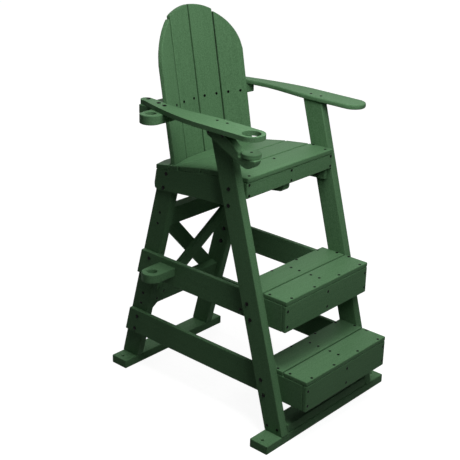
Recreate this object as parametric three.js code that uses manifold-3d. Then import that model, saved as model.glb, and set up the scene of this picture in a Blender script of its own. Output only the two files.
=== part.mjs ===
// Lifeguard chair of plastic lumber: two plank steps, a high seat, a slatted back, cup and umbrella holders.
import * as THREE from "three";
import Module from "manifold-3d";
import { mergeVertices } from "three/addons/utils/BufferGeometryUtils.js";

const wasm = await Module();
wasm.setup();

const mm = 1;

// Lumber stock
const plankThick = 19.05 * mm;
const plankWide = 114.3 * mm;
const beamThick = 38.1 * mm;
const beamWide = 88.9 * mm;
const slimWide = 63.5 * mm;
const boardGap = 6.35 * mm;
const restGap = 0.3 * mm;
const fitGap = 0.6 * mm;

// Feet
const frontFootHalf = 391.5 * mm;
const rearFootHalf = 312.7 * mm;
const rearFootFront = 890 * mm;
const anchorHole = 12 * mm;
const anchorInset = 27 * mm;
const frontAnchorBack = 45.5 * mm;
const rearAnchorBack = 47 * mm;
const stretcherSetback = 2.5 * mm;

// Fan of the back's slats, and the frame width that it needs
const slatPitch = 124.7 * mm;
const slatWide = slatPitch - 5.3 * mm;
const slatTurn = THREE.MathUtils.degToRad(7.24);
const fanHalf = slatPitch * (Math.cos(slatTurn) + Math.cos(3 * slatTurn));
const legOuter = fanHalf + 5.4 * mm + plankThick + beamThick;
const legInner = legOuter - beamThick;
const railInner = legInner - plankThick;
const rearLegInner = railInner - beamThick;

// Leaning legs, given as run per rise
const frontLegLeanShare = 0.2715;
const rearLegLeanShare = 0.268;
const frontLegFoot = -2.9 * mm;
const rearLegFoot = 888.5 * mm;

// Step frames
const lowerRailBottom = 168.5 * mm;
const upperRailBottom = 469.5 * mm;
const lowerStepFront = -80 * mm;
const upperStepFront = 35.5 * mm;
const treadHalf = legInner - 0.5 * mm;
const railEndInset = 4 * mm;
const joistThick = 38.1 * mm;

// Height of the seat at its rear
const seatRailBackTopHeight = 965.6 * mm;

// Slatted back
const slatLeanShare = 0.177;
const slatSeam = 756.7 * mm;
const slatSeamHeight = 1229.1 * mm;
const slatBottom = seatRailBackTopHeight - 3.6 * mm;
const archCentre = 1374 * mm;
const archRise = 212 * mm;
const archHalf = fanHalf - 1.05 * mm;
const outerSlatStep = 8 * mm;
const slatSeatGap = 2.5 * mm;

// Side profile of the seat rail
const seatRailTopFront = seatRailBackTopHeight + 58.9 * mm;
const seatFront = frontLegFoot + frontLegLeanShare * (seatRailTopFront - beamThick) - 18.9 * mm;
const seatRailFrontDeep = 114.3 * mm;
const seatSeamA = seatFront + 123 * mm;
const seatSeamATop = seatRailTopFront - 3 * mm;
const seatSeamB = seatSeamA + 121 * mm;
const seatSeamBTop = seatRailBackTopHeight + 41.4 * mm;
const seatSeamC = seatSeamB + 123 * mm;
const seatSeamCTop = seatRailBackTopHeight + 20.4 * mm;
const narrowBoardBack = slatSeam + slatLeanShare * (seatRailBackTopHeight - slatSeamHeight) - 46.1 * mm;
const seatRailBackTop = narrowBoardBack + 73 * mm;
const seatRailBackUp = seatRailBackTop + 12 * mm;
const seatRailBackUpHeight = seatRailBackTopHeight - 60.6 * mm;
const seatRailBackLow = seatRailBackTop + 10 * mm;
const seatRailBackLowHeight = seatRailBackUpHeight - 21 * mm;
const seatRailUnder = seatRailBackTop - 2 * mm;
const seatRailUnderHeight = seatRailBackLowHeight - 6 * mm;
const seatRailMid = seatRailBackTop - 267 * mm;
const seatRailMidHeight = seatRailUnderHeight + 23.5 * mm;
const rearLegTop = seatRailBackTopHeight - 10.6 * mm;
const apronDeep = slimWide;
const seatFrontLip = 2.5 * mm;
const seatMiddleJoistLow = seatRailTopFront - 104 * mm;
const seatJoistCorner = 24 * mm;
const seatJoistSetback = 3 * mm;
const rearSeatBoardDeep = beamWide;
const rearSeatCornerRun = 66 * mm;
const rearSeatCornerDrop = 22 * mm;

// Armrests
const armTop = 1243.8 * mm;
const armTopAt = 278 * mm;
const armSlopeShare = 0.012;
const armCentre = legOuter + 6.4 * mm;
const armEndCentre = 192.5 * mm;
const armEndRadius = 52.5 * mm;
const cupHole = 72 * mm;
const armTailAt = 779 * mm;
const armTailCentre = armCentre - 36 * mm;
const armTailRadius = 24 * mm;
const armOuterRun = [
  [0.552 * armTailAt, 1.1702 * armCentre],
  [0.6162 * armTailAt, 1.1605 * armCentre],
  [0.6727 * armTailAt, 1.1426 * armCentre],
  [0.7189 * armTailAt, 1.1248 * armCentre],
  [0.7702 * armTailAt, 1.0989 * armCentre],
  [0.8228 * armTailAt, 1.0697 * armCentre],
  [0.8858 * armTailAt, 1.0308 * armCentre],
  [0.9435 * armTailAt, 0.9887 * armCentre],
  [0.9872 * armTailAt, 0.9562 * armCentre],
];
const armInnerRun = [
  [0.9653 * armTailAt, 0.8136 * armCentre],
  [0.914 * armTailAt, 0.8314 * armCentre],
  [0.8537 * armTailAt, 0.859 * armCentre],
  [0.7831 * armTailAt, 0.8752 * armCentre],
  [0.706 * armTailAt, 0.8703 * armCentre],
  [0.6354 * armTailAt, 0.8525 * armCentre],
  [0.5648 * armTailAt, 0.8331 * armCentre],
  [0.5006 * armTailAt, 0.8217 * armCentre],
];

// Board under the rear ends of the arms
const rearSupportHalf = legOuter - 2.1 * mm;
const rearSupportBack = 795 * mm;
const rearSupportFrontSide = 708 * mm;
const rearSupportFlat = fanHalf + 6.4 * mm;

// Umbrella holder
const poleX = legOuter + 50.9 * mm;
const poleY = 671 * mm;
const poleHole = 43 * mm;
const poleSocket = 40 * mm;
const socketDeep = 28 * mm;
const holderRadius = 44.6 * mm;
const upperHolderInner = legInner - 2 * mm;
const lowerHolderTop = 560 * mm;

// Cup holder
const cupAside = 4.5 * mm;
const cupX = armCentre + cupAside;
const cupY = 190 * mm;
const cupDiscWide = 75.5 * mm;
const cupDiscX = armCentre + 1.2 * mm;
const cupDiscThick = plankThick;
const cupDiscTop = 1171 * mm;
const cupArcAt = 191.2 * mm;
const cupArcHeight = 1159 * mm;
const cupArcRadius = beamWide / 2;
const cupArcTurn = THREE.MathUtils.degToRad(25.5);
const cupShoulder = 229 * mm;
const cupShoulderTop = 1168 * mm;
const cupNeck = 303 * mm;
const cupHeel = 384 * mm;
const cupHeelTop = 397 * mm;

// Braces between the rear legs
const crossMiddleUpper = 743 * mm;
const crossMiddleLower = 338 * mm;
const crossBack = 736 * mm;
const crossBackHeight = 771 * mm;

// Through bolts
const boltHead = 13 * mm;
const boltHeadThick = 3 * mm;
const boltRound = 1.2 * mm;
const boltShank = 8 * mm;
const boltHole = 9 * mm;
const nutWide = 17 * mm;
const nutThick = 7 * mm;
// Each bolt's distance behind the leg's front edge, and its height
const legBoltPlaces = [
  ["seat_upper", 47.2 * mm, seatRailTopFront - 26.7 * mm],
  ["seat_lower", 64.5 * mm, seatRailTopFront - 92.9 * mm],
  ["upper_step_upper", 61.6 * mm, upperRailBottom + 84.8 * mm],
  ["upper_step_lower", 60.6 * mm, upperRailBottom + 21.8 * mm],
  ["lower_step_upper", 61.4 * mm, lowerRailBottom + 83.5 * mm],
  ["lower_step_lower", 61.4 * mm, lowerRailBottom + 21 * mm],
];

// Smoothness of round shapes
const roundSteps = 36;
const arcSteps = 16;
const boltSteps = 12;

const chair = new THREE.Group();
chair.name = "lifeguard_chair";

const lumberGreen = new THREE.Color(0.105, 0.215, 0.11);
const boltDark = new THREE.Color(0.05, 0.05, 0.05);

function addPiece(name, geometry, kind) {
  const material =
    kind === "bolt"
      ? new THREE.MeshStandardMaterial({ color: boltDark, roughness: 0.5, metalness: 0.8 })
      : new THREE.MeshStandardMaterial({ color: lumberGreen, roughness: 0.75, metalness: 0 });
  const mesh = new THREE.Mesh(geometry, material);
  mesh.name = name;
  chair.add(mesh);
}

function shapeOf(points, holes) {
  const shape = new THREE.Shape();
  points.forEach(([u, v], i) => (i ? shape.lineTo(u, v) : shape.moveTo(u, v)));
  shape.closePath();
  for (const [u, v, wide] of holes) {
    const path = new THREE.Path();
    path.absarc(u, v, wide / 2, 0, 2 * Math.PI, true);
    shape.holes.push(path);
  }
  return shape;
}

function flatSided(shape, thick) {
  return new THREE.ExtrudeGeometry(shape, { depth: thick, bevelEnabled: false, curveSegments: arcSteps });
}

// A board seen from the side: points are (back, up), thickness runs across the chair from low x to high x
function sideBoard(points, lowX, highX, holes = []) {
  const geometry = flatSided(shapeOf(points, holes), highX - lowX);
  const turn = new THREE.Matrix4().makeBasis(
    new THREE.Vector3(0, 1, 0),
    new THREE.Vector3(0, 0, 1),
    new THREE.Vector3(1, 0, 0),
  );
  geometry.applyMatrix4(turn);
  geometry.translate(lowX, 0, 0);
  return geometry;
}

// A board seen from above: points are (across, back), thickness runs from low z to high z
function planBoard(points, lowZ, highZ, holes = []) {
  const geometry = flatSided(shapeOf(points, holes), highZ - lowZ);
  geometry.translate(0, 0, lowZ);
  return geometry;
}

function box(lowX, highX, lowY, highY, lowZ, highZ) {
  const geometry = new THREE.BoxGeometry(highX - lowX, highY - lowY, highZ - lowZ);
  geometry.translate((lowX + highX) / 2, (lowY + highY) / 2, (lowZ + highZ) / 2);
  return geometry;
}

function toManifold(geometry) {
  const bare = geometry.clone();
  bare.deleteAttribute("normal");
  bare.deleteAttribute("uv");
  const merged = mergeVertices(bare);
  return new wasm.Manifold(
    new wasm.Mesh({
      numProp: 3,
      vertProperties: new Float32Array(merged.attributes.position.array),
      triVerts: new Uint32Array(merged.index.array),
    }),
  );
}

function fromManifold(solid) {
  const mesh = solid.getMesh();
  const geometry = new THREE.BufferGeometry();
  geometry.setAttribute("position", new THREE.BufferAttribute(new Float32Array(mesh.vertProperties), 3));
  geometry.setIndex(new THREE.BufferAttribute(new Uint32Array(mesh.triVerts), 1));
  geometry.computeVertexNormals();
  return geometry;
}

function uprightRod(x, y, lowZ, highZ, wide) {
  const geometry = new THREE.CylinderGeometry(wide / 2, wide / 2, highZ - lowZ, roundSteps);
  geometry.rotateX(Math.PI / 2);
  geometry.translate(x, y, (lowZ + highZ) / 2);
  return geometry;
}

function arcPoints(x, y, radius, from, to) {
  const points = [];
  for (let i = 0; i <= arcSteps; i += 1) {
    const angle = from + ((to - from) * i) / arcSteps;
    points.push([x + radius * Math.cos(angle), y + radius * Math.sin(angle)]);
  }
  return points;
}

function mirrored(points) {
  return points.map(([x, y]) => [-x, y]).reverse();
}

// Feet, with an anchor hole near each end
const footTop = beamThick;
addPiece(
  "front_foot_board",
  planBoard(
    [
      [-frontFootHalf, 0],
      [frontFootHalf, 0],
      [frontFootHalf, beamWide],
      [-frontFootHalf, beamWide],
    ],
    0,
    footTop,
    [
      [-(frontFootHalf - anchorInset), frontAnchorBack, anchorHole],
      [frontFootHalf - anchorInset, frontAnchorBack, anchorHole],
    ],
  ),
);
addPiece(
  "rear_foot_board",
  planBoard(
    [
      [-rearFootHalf, rearFootFront],
      [rearFootHalf, rearFootFront],
      [rearFootHalf, rearFootFront + beamWide],
      [-rearFootHalf, rearFootFront + beamWide],
    ],
    0,
    footTop,
    [
      [-(rearFootHalf - anchorInset), rearFootFront + rearAnchorBack, anchorHole],
      [rearFootHalf - anchorInset, rearFootFront + rearAnchorBack, anchorHole],
    ],
  ),
);
addPiece(
  "front_foot_stretcher",
  box(-legInner, legInner, stretcherSetback, beamWide - stretcherSetback, footTop, footTop + beamThick),
);

// Height of the armrest underside at a distance back
const armSlope = Math.atan(armSlopeShare);
const armThickUp = plankThick / Math.cos(armSlope);
function armUnder(y) {
  return armTop - armThickUp + armSlopeShare * (y - armTopAt);
}

// Legs
const frontLegRun = beamWide * Math.sqrt(1 + frontLegLeanShare ** 2);
const rearLegRun = beamWide * Math.sqrt(1 + rearLegLeanShare ** 2);
function frontLegFrontAt(z) {
  return frontLegFoot + frontLegLeanShare * (z - footTop);
}
function rearLegFrontAt(z) {
  return rearLegFoot - rearLegLeanShare * (z - footTop);
}
function frontLegTopPoint(offset) {
  const run = frontLegFoot + offset - armTopAt;
  const base = armTop - armThickUp - restGap;
  const z = (base + armSlopeShare * (run - frontLegLeanShare * footTop)) / (1 - armSlopeShare * frontLegLeanShare);
  return [frontLegFrontAt(z) + offset, z];
}
const frontLegOutline = [
  [frontLegFrontAt(footTop), footTop],
  [frontLegFrontAt(footTop) + frontLegRun, footTop],
  frontLegTopPoint(frontLegRun),
  frontLegTopPoint(0),
];
const rearLegOutline = [
  [rearLegFrontAt(footTop), footTop],
  [rearLegFrontAt(footTop) + rearLegRun, footTop],
  [rearLegFrontAt(rearLegTop) + rearLegRun, rearLegTop],
  [rearLegFrontAt(rearLegTop), rearLegTop],
];
const legBoltSpots = legBoltPlaces.map(([spot, behind, z]) => [spot, frontLegFrontAt(z) + behind, z]);
const legBoltHoles = legBoltSpots.map(([, y, z]) => [y, z, boltHole]);
addPiece("front_leg_right", sideBoard(frontLegOutline, -legOuter, -legInner, legBoltHoles));
addPiece("front_leg_left", sideBoard(frontLegOutline, legInner, legOuter, legBoltHoles));
addPiece("rear_leg_right", sideBoard(rearLegOutline, -railInner, -rearLegInner));
addPiece("rear_leg_left", sideBoard(rearLegOutline, rearLegInner, railInner));

// Step frames: side rails, riser, middle joist, rear cross board and two treads
function addStep(label, railBottom, front) {
  const railTop = railBottom + plankWide;
  const railStart = front + plankThick;
  const railOutline = [
    [railStart, railBottom],
    [rearLegFrontAt(railBottom) + rearLegRun - railEndInset, railBottom],
    [rearLegFrontAt(railTop) + rearLegRun - railEndInset, railTop],
    [railStart, railTop],
  ];
  const railHoles = legBoltSpots.filter(([spot]) => spot.startsWith(label)).map(([, y, z]) => [y, z, boltHole]);
  addPiece(`${label}_rail_right`, sideBoard(railOutline, -legInner, -railInner, railHoles));
  addPiece(`${label}_rail_left`, sideBoard(railOutline, railInner, legInner, railHoles));
  const treadMiddle = front + plankWide;
  const treadBackStart = treadMiddle + boardGap;
  const treadBack = treadBackStart + plankWide;
  addPiece(`${label}_riser`, box(-legInner, legInner, front, railStart, railBottom, railTop));
  const crossFront = treadBack - plankThick;
  addPiece(`${label}_cross_board`, box(-railInner, railInner, crossFront, treadBack, railBottom, railTop));
  const joistBack = crossFront - restGap;
  addPiece(`${label}_joist`, box(-joistThick / 2, joistThick / 2, railStart, joistBack, railBottom, railTop));
  const treadTop = railTop + plankThick;
  addPiece(`${label}_tread_front`, box(-treadHalf, treadHalf, front, treadMiddle, railTop, treadTop));
  addPiece(`${label}_tread_back`, box(-treadHalf, treadHalf, treadBackStart, treadBack, railTop, treadTop));
}
addStep("lower_step", lowerRailBottom, lowerStepFront);
addStep("upper_step", upperRailBottom, upperStepFront);

// Seat rails, apron and middle joist
const apronBack = seatFront + plankThick;
const apronLow = seatRailTopFront - apronDeep;
const seatRailOutline = [
  [apronBack, seatRailTopFront - seatRailFrontDeep],
  [seatRailMid, seatRailMidHeight],
  [seatRailUnder, seatRailUnderHeight],
  [seatRailBackLow, seatRailBackLowHeight],
  [seatRailBackUp, seatRailBackUpHeight],
  [seatRailBackTop, seatRailBackTopHeight],
  [seatSeamC, seatSeamCTop],
  [seatSeamB, seatSeamBTop],
  [seatSeamA, seatSeamATop],
  [apronBack, seatRailTopFront],
];
const seatBoltHoles = legBoltSpots.filter(([spot]) => spot.startsWith("seat")).map(([, y, z]) => [y, z, boltHole]);
addPiece("seat_rail_right", sideBoard(seatRailOutline, -legInner, -railInner, seatBoltHoles));
addPiece("seat_rail_left", sideBoard(seatRailOutline, railInner, legInner, seatBoltHoles));
addPiece("seat_apron", box(-legInner, legInner, seatFront, apronBack, apronLow, seatRailTopFront));

function seatRailTopAt(y) {
  const run = [
    [apronBack, seatRailTopFront],
    [seatSeamA, seatSeamATop],
    [seatSeamB, seatSeamBTop],
    [seatSeamC, seatSeamCTop],
    [seatRailBackTop, seatRailBackTopHeight],
  ];
  let i = 1;
  while (i < run.length - 1 && run[i][0] < y) i += 1;
  const [y0, z0] = run[i - 1];
  const [y1, z1] = run[i];
  return z0 + ((z1 - z0) * (y - y0)) / (y1 - y0);
}

// A point on the front face plane of the slats, level by level
const slatSide = [
  [0, slatSeam],
  [slatPitch * Math.cos(slatTurn), slatSeam - slatPitch * Math.sin(slatTurn)],
  [
    slatPitch * (Math.cos(slatTurn) + Math.cos(3 * slatTurn)),
    slatSeam - slatPitch * (Math.sin(slatTurn) + Math.sin(3 * slatTurn)),
  ],
];
function slatFrontAt(x, z, setForward) {
  const across = Math.abs(x);
  const outer = across > slatSide[1][0];
  const [x0, y0] = outer ? slatSide[1] : slatSide[0];
  const [x1, y1] = outer ? slatSide[2] : slatSide[1];
  const grade = (y1 - y0) / (x1 - x0);
  const level = slatLeanShare * (z - slatSeamHeight);
  return y0 + grade * (across - x0) + level - setForward * Math.sqrt(1 + grade ** 2);
}

// Where the bend between two slats lies on a surface set back from their fronts
function kneeBehind(setBack) {
  return slatSide[1][0] + (setBack * Math.sin(2 * slatTurn)) / Math.cos(slatTurn);
}

const seatJoistBack = narrowBoardBack - slatSeatGap;
const seatJoistNose = apronBack + seatJoistSetback + seatJoistCorner;
const seatJoistOutline = [
  [apronBack, apronLow],
  [apronBack + seatJoistSetback, apronLow],
  ...arcPoints(seatJoistNose, seatMiddleJoistLow + seatJoistCorner, seatJoistCorner, Math.PI, 1.5 * Math.PI),
  [seatSeamB, seatSeamBTop - seatRailFrontDeep],
  [seatJoistBack, seatRailTopAt(seatJoistBack) - plankWide],
  [seatJoistBack, seatRailTopAt(seatJoistBack)],
  [seatSeamC, seatSeamCTop],
  [seatSeamB, seatSeamBTop],
  [seatSeamA, seatSeamATop],
  [apronBack, seatRailTopFront],
];
addPiece("seat_middle_joist", sideBoard(seatJoistOutline, -joistThick / 2, joistThick / 2));

// A seat board laid on the sloping rail tops; plan points give (across, back) at the rail level
function seatBoard(name, points, startY, endY) {
  const startZ = seatRailTopAt(startY);
  const share = (seatRailTopAt(endY) - startZ) / (endY - startY);
  const thickUp = plankThick * Math.sqrt(1 + share ** 2);
  const geometry = planBoard(points, restGap, restGap + thickUp);
  const spots = geometry.attributes.position;
  for (let i = 0; i < spots.count; i += 1) {
    spots.setZ(i, spots.getZ(i) + startZ + share * (spots.getY(i) - startY));
  }
  geometry.computeVertexNormals();
  addPiece(name, geometry);
}
function stripOutline(half, low, high) {
  return [
    [-half, low],
    [half, low],
    [half, high],
    [-half, high],
  ];
}
const halfGap = boardGap / 2;
const seatHalf = treadHalf;
seatBoard(
  "seat_board_front",
  stripOutline(seatHalf, seatFront - seatFrontLip, seatSeamA - halfGap),
  apronBack,
  seatSeamA - halfGap,
);
seatBoard(
  "seat_board_second",
  stripOutline(seatHalf, seatSeamA + halfGap, seatSeamB - halfGap),
  seatSeamA + halfGap,
  seatSeamB - halfGap,
);
seatBoard(
  "seat_board_third",
  stripOutline(seatHalf, seatSeamB + halfGap, seatSeamC - halfGap),
  seatSeamB + halfGap,
  seatSeamC - halfGap,
);

// Fourth board, its rear edge cut round the fronts of the slats
const slatOuterX = slatSide[2][0] - (slatPitch - slatWide) * Math.cos(3 * slatTurn) / 2;
const slatKneeX = slatSide[1][0];
const earX = slatOuterX + plankThick * Math.sin(3 * slatTurn) + slatSeatGap;
const fourthRight = [
  [seatHalf, narrowBoardBack],
  [earX, narrowBoardBack],
  [earX, slatFrontAt(slatOuterX, seatRailBackTopHeight, slatSeatGap)],
  [slatOuterX, slatFrontAt(slatOuterX, seatRailBackTopHeight, slatSeatGap)],
  [slatKneeX, slatFrontAt(slatKneeX, seatRailBackTopHeight, slatSeatGap)],
];
seatBoard(
  "seat_board_fourth",
  [
    [-seatHalf, seatSeamC + halfGap],
    [seatHalf, seatSeamC + halfGap],
    ...fourthRight,
    [0, slatFrontAt(0, seatRailBackTopHeight, slatSeatGap)],
    ...mirrored(fourthRight),
  ],
  seatSeamC + halfGap,
  narrowBoardBack,
);

// Rear board behind the slats, its front edge hollowed to their backs
const rearSeatFront = narrowBoardBack + boardGap;
const rearSeatBack = rearSeatFront + rearSeatBoardDeep;
const slatBackShift = plankThick * Math.sqrt(1 + slatLeanShare ** 2) + slatSeatGap;
const rearSeatLevel = seatSeamCTop;
const hollowKneeX = kneeBehind(slatBackShift);
const hollowRight = [
  [hollowKneeX, slatFrontAt(hollowKneeX, rearSeatLevel, -slatBackShift)],
  [earX, Math.max(rearSeatFront, slatFrontAt(slatOuterX, rearSeatLevel, -slatBackShift))],
  [earX, rearSeatFront],
  [seatHalf, rearSeatFront],
];
seatBoard(
  "seat_rear_board",
  [
    [0, slatFrontAt(0, rearSeatLevel, -slatBackShift)],
    ...hollowRight,
    [seatHalf, rearSeatBack - rearSeatCornerDrop],
    [seatHalf - rearSeatCornerRun, rearSeatBack],
    [-(seatHalf - rearSeatCornerRun), rearSeatBack],
    [-seatHalf, rearSeatBack - rearSeatCornerDrop],
    ...mirrored(hollowRight),
  ],
  rearSeatFront,
  seatRailBackTop,
);

// Back slats, outlined on their own planes under one arch, which the outer two meet a step lower
function archAt(x) {
  return archCentre + archRise * Math.sqrt(1 - (x / archHalf) ** 2);
}
function addSlat(index) {
  const side = index < 2 ? -1 : 1;
  const outer = index === 0 || index === 3;
  const [nearX, nearY] = outer ? slatSide[1] : slatSide[0];
  const turn = side * (outer ? 3 : 1) * slatTurn;
  const across = new THREE.Vector3(Math.cos(turn), -Math.sin(turn), 0);
  const along = new THREE.Vector3(0, slatLeanShare, 1).normalize();
  const wide = across.clone().addScaledVector(along, -across.dot(along)).normalize();
  const back = new THREE.Vector3().crossVectors(along, wide).normalize();
  const origin = new THREE.Vector3(side * nearX, nearY, slatSeamHeight);
  const spare = (slatPitch - slatWide) / 2;
  const low = side > 0 ? spare : spare - slatPitch;
  const high = side > 0 ? slatPitch - spare : -spare;
  const rise = Math.sqrt(1 + slatLeanShare ** 2);
  const squeeze = wide.x;
  function topPoint(u) {
    const x = origin.x + u * squeeze;
    const z = archAt(x) - (outer ? outerSlatStep : 0);
    return [u, (z - origin.z - u * wide.z) * rise];
  }
  function bottomPoint(u) {
    return [u, (slatBottom - origin.z - u * wide.z) * rise];
  }
  const points = [bottomPoint(low), bottomPoint(high)];
  for (let i = 0; i <= arcSteps; i += 1) {
    points.push(topPoint(high + ((low - high) * i) / arcSteps));
  }
  const geometry = flatSided(shapeOf(points, []), plankThick);
  // the shape's plane is (wide, along), so its depth runs towards the sitter and is set back by the thickness
  const front = back.clone().negate();
  const place = new THREE.Matrix4().makeBasis(wide, along, front);
  geometry.applyMatrix4(place);
  geometry.translate(origin.x, origin.y, origin.z);
  geometry.translate(-front.x * plankThick, -front.y * plankThick, -front.z * plankThick);
  addPiece(`back_slat_${index + 1}`, geometry);
}
for (let i = 0; i < 4; i += 1) addSlat(i);

// Everything fixed to the sloping underside of the arms is drawn level, then turned by the arm slope
function ontoArmSlope(geometry) {
  geometry.translate(0, -armTopAt, -armTop);
  geometry.rotateX(armSlope);
  geometry.translate(0, armTopAt, armTop);
  return geometry;
}
const tailTurn = THREE.MathUtils.degToRad(20);
const armOutline = [
  ...arcPoints(armCentre, armEndCentre, armEndRadius, -Math.PI, 0),
  ...armOuterRun.map(([y, x]) => [x, y]),
  ...arcPoints(armTailCentre, armTailAt, armTailRadius, tailTurn, Math.PI),
  ...armInnerRun.map(([y, x]) => [x, y]),
];
addPiece("armrest_left", ontoArmSlope(planBoard(armOutline, armTop - plankThick, armTop)));
addPiece(
  "armrest_right",
  ontoArmSlope(
    planBoard(mirrored(armOutline), armTop - plankThick, armTop, [[-cupX, cupY, cupHole]]),
  ),
);

const underArm = armTop - plankThick - restGap;
const supportLevel = armTop - plankThick - beamThick;
const supportShift = plankThick * Math.sqrt(1 + slatLeanShare ** 2) + restGap;
const supportFrontLevel = armUnder(slatSeam + supportShift) - restGap;
function supportFrontAt(x) {
  return slatFrontAt(x, supportFrontLevel, -supportShift);
}
const supportKneeX = kneeBehind(supportShift);
const supportRight = [
  [supportKneeX, supportFrontAt(supportKneeX)],
  [rearSupportFlat, supportFrontAt(rearSupportFlat)],
  [rearSupportHalf, rearSupportFrontSide],
];
addPiece(
  "arm_rear_support",
  ontoArmSlope(
    planBoard(
      [
        [0, supportFrontAt(0)],
        ...supportRight,
        [rearSupportHalf, rearSupportBack],
        [-rearSupportHalf, rearSupportBack],
        ...mirrored(supportRight),
      ],
      supportLevel - restGap,
      underArm,
    ),
  ),
);

// Umbrella holder: bored block under the right arm and socketed block on the upper step rail
const holderRound = arcPoints(-poleX, poleY, holderRadius, Math.PI / 2, (3 * Math.PI) / 2);
addPiece(
  "umbrella_upper_block",
  ontoArmSlope(
    planBoard(
      [
        ...holderRound,
        [-upperHolderInner, poleY - holderRadius],
        [-upperHolderInner, rearSupportFrontSide - restGap],
        [-poleX, rearSupportFrontSide - restGap],
      ].filter(([, y]) => y < rearSupportFrontSide),
      supportLevel - restGap,
      underArm,
      [[-poleX, poleY, poleHole]],
    ),
  ),
);
const lowerHolder = planBoard(
  [...holderRound, [-legInner, poleY - holderRadius], [-legInner, poleY + holderRadius]],
  lowerHolderTop - beamThick,
  lowerHolderTop,
);
const socket = uprightRod(-poleX, poleY, lowerHolderTop - socketDeep, lowerHolderTop + restGap, poleSocket);
addPiece("umbrella_lower_block", fromManifold(toManifold(lowerHolder).subtract(toManifold(socket))));

// Cup holder: disc on a diagonal bracket fixed to the outside of the right front leg
const cupFlat = cupDiscTop - cupDiscThick;
addPiece("cup_base_disc", uprightRod(-cupDiscX, cupY, cupFlat, cupDiscTop, cupDiscWide));
const flatTurn = Math.asin((cupArcHeight - cupFlat) / cupArcRadius);
const lowTangent = -Math.PI / 2 + cupArcTurn;
const cupArc = arcPoints(cupArcAt, cupArcHeight, cupArcRadius, -Math.PI + flatTurn, lowTangent);
const tangentY = cupArcAt + cupArcRadius * Math.sin(cupArcTurn);
const tangentZ = cupArcHeight - cupArcRadius * Math.cos(cupArcTurn);
const heelZ = tangentZ + (cupHeel - tangentY) * Math.tan(cupArcTurn);
addPiece(
  "cup_bracket",
  sideBoard(
    [
      ...cupArc,
      [cupHeel, heelZ],
      [cupHeelTop, armUnder(cupHeelTop) - restGap],
      [cupNeck, armUnder(cupNeck) - restGap],
      [cupShoulder, cupShoulderTop],
      [cupShoulder, cupFlat],
    ],
    -legOuter - beamThick,
    -legOuter,
  ),
);

// Cross boards and crossed diagonals between the rear legs, drawn upright and leaned with the legs
const rearLean = Math.atan(rearLegLeanShare);
function leanWithLegs(geometry) {
  geometry.rotateX(rearLean);
  return geometry;
}
const crossPlane = (crossBack + rearLegLeanShare * crossBackHeight) * Math.cos(rearLean);
function planeLevel(z) {
  // level along the leaning plane for a point of the plane at height z
  const y = crossPlane / Math.cos(rearLean) - rearLegLeanShare * z;
  return z * Math.cos(rearLean) - y * Math.sin(rearLean);
}
function addCross(name, middle) {
  const level = planeLevel(middle);
  const geometry = box(
    -rearLegInner,
    rearLegInner,
    crossPlane - beamThick / 2,
    crossPlane + beamThick / 2,
    level - beamWide / 2,
    level + beamWide / 2,
  );
  addPiece(name, leanWithLegs(geometry));
}
addCross("rear_cross_board_upper", crossMiddleUpper);
addCross("rear_cross_board_lower", crossMiddleLower);
const diagonalLow = planeLevel(crossMiddleLower);
const diagonalHigh = planeLevel(crossMiddleUpper);
function addDiagonal(name, side, nearY) {
  const reach = rearLegInner - fitGap;
  const half = slimWide / 2;
  const angle = Math.atan2(diagonalHigh - diagonalLow, 2 * rearLegInner);
  const spread = half / Math.cos(angle);
  const grade = Math.tan(angle);
  const middle = (diagonalHigh + diagonalLow) / 2;
  const cap = beamWide / 2;
  const high = diagonalHigh + cap;
  const low = diagonalLow - cap;
  const points = [
    [-reach, Math.max(low, middle - grade * reach - spread)],
    [(low - middle + spread) / grade, low],
    [reach, middle + grade * reach - spread],
    [reach, Math.min(high, middle + grade * reach + spread)],
    [(high - middle - spread) / grade, high],
    [-reach, middle - grade * reach + spread],
  ].filter(([x]) => Math.abs(x) <= reach);
  const shaped = points.map(([x, z]) => [side * x, z]);
  if (side < 0) shaped.reverse();
  const geometry = flatSided(shapeOf(shaped, []), plankThick);
  geometry.rotateX(Math.PI / 2);
  geometry.translate(0, nearY + plankThick, 0);
  addPiece(name, leanWithLegs(geometry));
}
addDiagonal("rear_brace_front", 1, crossPlane - beamThick / 2 - restGap - plankThick);
addDiagonal("rear_brace_back", -1, crossPlane + beamThick / 2 + restGap);

// Through bolts of the front legs: domed head outside, nut inside the rail
function boltProfile(grip) {
  return [
    [0, -boltHeadThick],
    [boltHead / 2 - boltRound, -boltHeadThick],
    [boltHead / 2, -boltHeadThick + boltRound],
    [boltHead / 2, 0],
    [boltShank / 2, 0],
    [boltShank / 2, grip],
    [nutWide / 2, grip],
    [nutWide / 2, grip + nutThick - boltRound],
    [nutWide / 2 - boltRound, grip + nutThick],
    [0, grip + nutThick],
  ].map(([r, h]) => new THREE.Vector2(r, h));
}
const grip = beamThick + plankThick;
for (const [spot, y, z] of legBoltSpots) {
  for (const side of [-1, 1]) {
    const geometry = new THREE.LatheGeometry(boltProfile(grip), boltSteps);
    geometry.rotateZ((side * Math.PI) / 2);
    geometry.translate(side * legOuter, y, z);
    addPiece(`leg_bolt_${spot}_${side < 0 ? "right" : "left"}`, geometry, "bolt");
  }
}

// The shared origin lies under the middle of the bounding box
const bounds = new THREE.Box3().setFromObject(chair);
const middle = bounds.getCenter(new THREE.Vector3());
for (const piece of chair.children) piece.geometry.translate(-middle.x, -middle.y, -bounds.min.z);

export default chair;
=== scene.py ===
"""Lifeguard chair in recycled plastic lumber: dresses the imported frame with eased
boards, dark fasteners, soft studio light and a camera at the photograph's angle."""

import math
import random

import bpy
from mathutils import Matrix, Vector


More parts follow.
